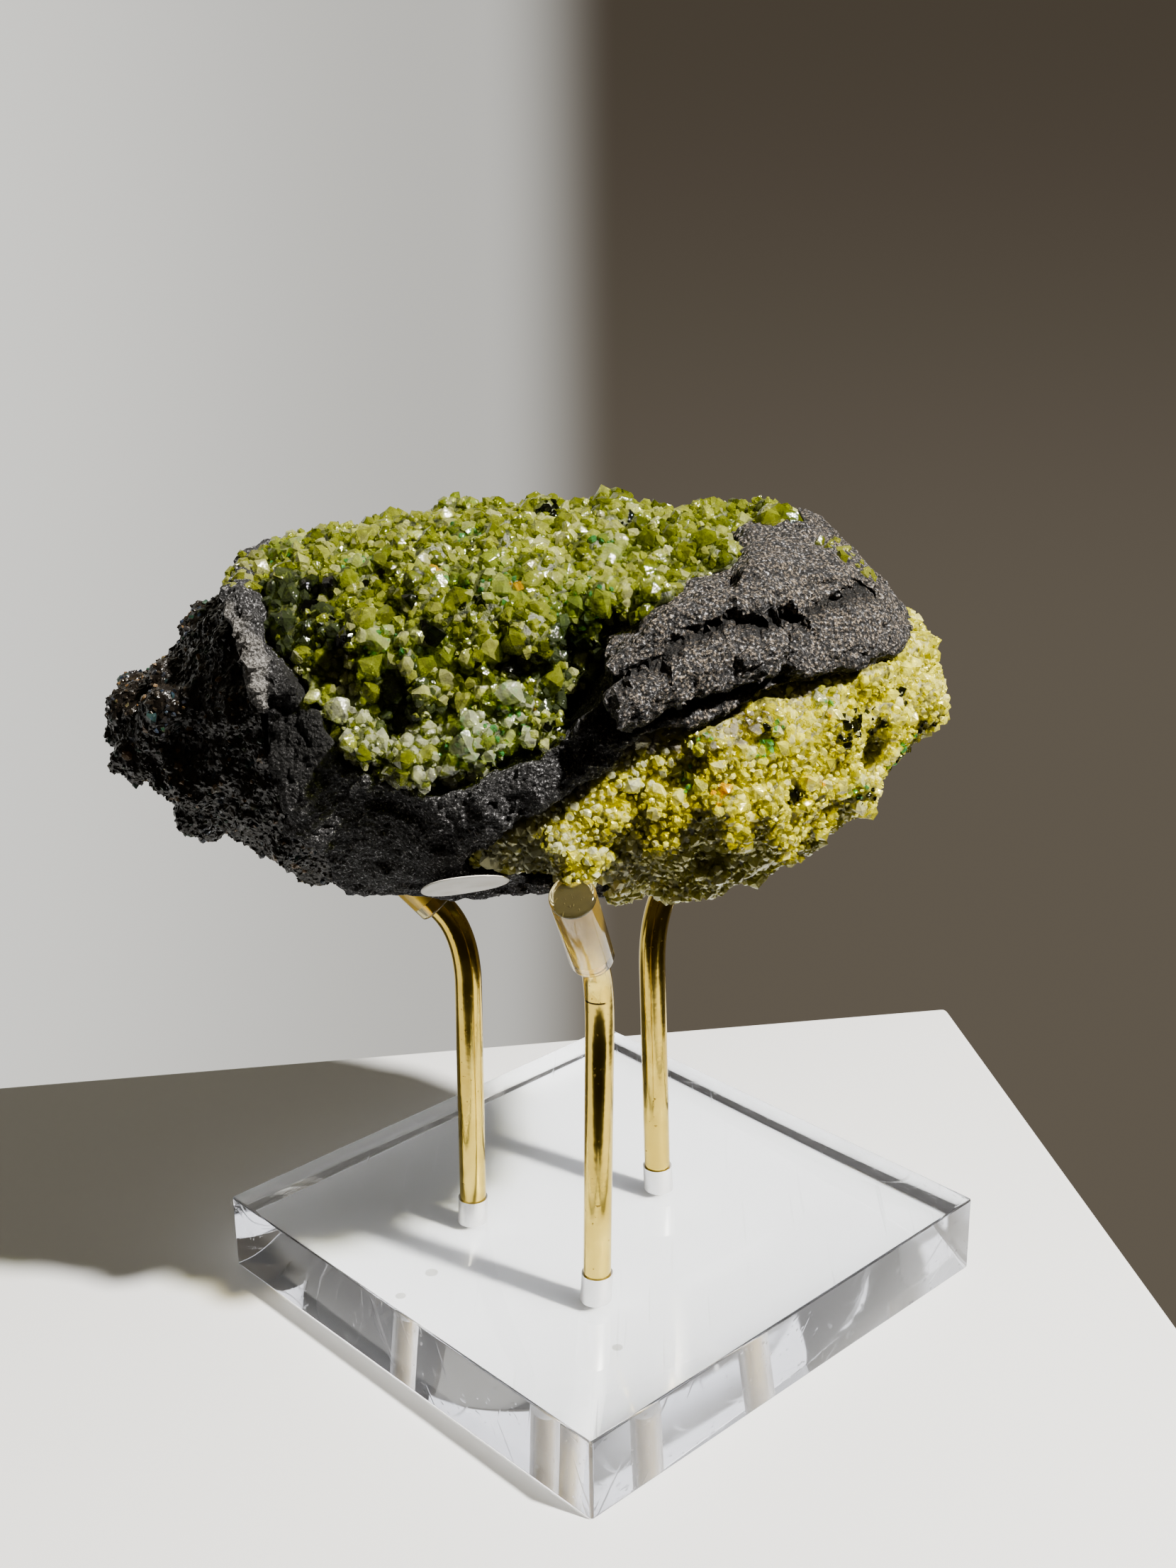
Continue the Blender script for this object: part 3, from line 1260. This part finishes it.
peridot_mass("peridot_upper", "green_peridot", green_peridot, green_bed, upper_hollows, 1.5,
             [("large_grains", large_shapes, 3.8, 1.4, 2.5, 0.15),
              ("grains", large_shapes, 2.0, 0.8, 1.45, -0.1),
              ("fine_grains", small_shapes, 1.2, 0.4, 0.75, -0.3)], "peridot_green")
peridot_mass("peridot_lower", "golden_peridot", golden_peridot, golden_bed, lower_hollows, 0.4,
             [("large_grains", large_shapes, 3.4, 1.0, 1.8, 0.2),
              ("grains", large_shapes, 1.6, 0.6, 1.05, 0.0),
              ("fine_grains", small_shapes, 0.95, 0.35, 0.6, -0.3)], "peridot_yellow")
ridge_grains = grains_on(matrix_rock, "green_peridot_ridge_grains", large_shapes, 1.7, 0.7, 1.5,
                         0.2, 5, green_peridot)
finish_piece(ridge_grains, "peridot_green", "peridot_upper")

# %% [markdown]
# ## Dark crust
# The left end of the stone is a crust of small dark crystals, pyroxene and spinel, brown-black with
# glints of blue, green and orange. Its skin gets the rock relief, and small dark grains stand on it.

# %% Dark crystal
dark_crystal, shader = new_material("dark crystal")
glints = noise(object_place(shader), 700.0, detail=3.0)
shade = calc("ADD", attribute(shader, "tint"), scaled(glints, 0.2, -0.1))
dark_tones = [
    (0.0, (0.011, 0.009, 0.0075)), (0.6, (0.034, 0.027, 0.019)), (0.8, (0.024, 0.036, 0.060)),
    (0.88, (0.022, 0.055, 0.036)), (0.95, (0.13, 0.075, 0.034)), (1.0, (0.20, 0.15, 0.10)),
]
dress(shader, Base_Color=ramp(shade, dark_tones), IOR=1.5,
      Roughness=scaled(glints, 0.8, -0.10), Normal=surface_bump(glints, 0.8, 0.4 * MM))
print("dark crystal in", len(dark_tones), "tones")

# %% [markdown]
# ## Crust
# The crust's bed gets the rock relief, with larger crystals and small grains on it.

# %% Crust
crust_skin = skin_of("dark_crystal_crust", "dark_crust_bed", 0.6, 5, dark_crystal)
open_faces(crust_skin.data, "dark_crystal_crust")
crust_skin = with_relief(crust_skin, dark_crystal, Cluster=(1.1, 6), Broad=(0.5, 4),
                         Fine=(0.3, 1.8))
crust_skin.data.shade_flat()
for layer_name, *sizes in (("crystals", large_shapes, 2.2, 0.6, 1.2, 0.5),
                           ("grains", small_shapes, 1.0, 0.35, 0.7, 0.2)):
    crystals = grains_on(crust_skin, f"dark_crust_{layer_name}", *sizes, 31, dark_crystal)
    finish_piece(crystals, "dark_crystal", "dark_crystal_crust")
finish_piece(crust_skin, "dark_crystal", "dark_crystal_crust")

# %% [markdown]
# ## Hand over
# The two boxes are written down side by side, because the dressed model may not be larger than the
# CAD model. The last line checks the frame and writes the table of pieces and bodies.

# %% Sizes and finish
for group in (large_shapes, small_shapes):
    for shape in list(group.objects):
        bpy.data.objects.remove(shape)
    bpy.data.collections.remove(group)
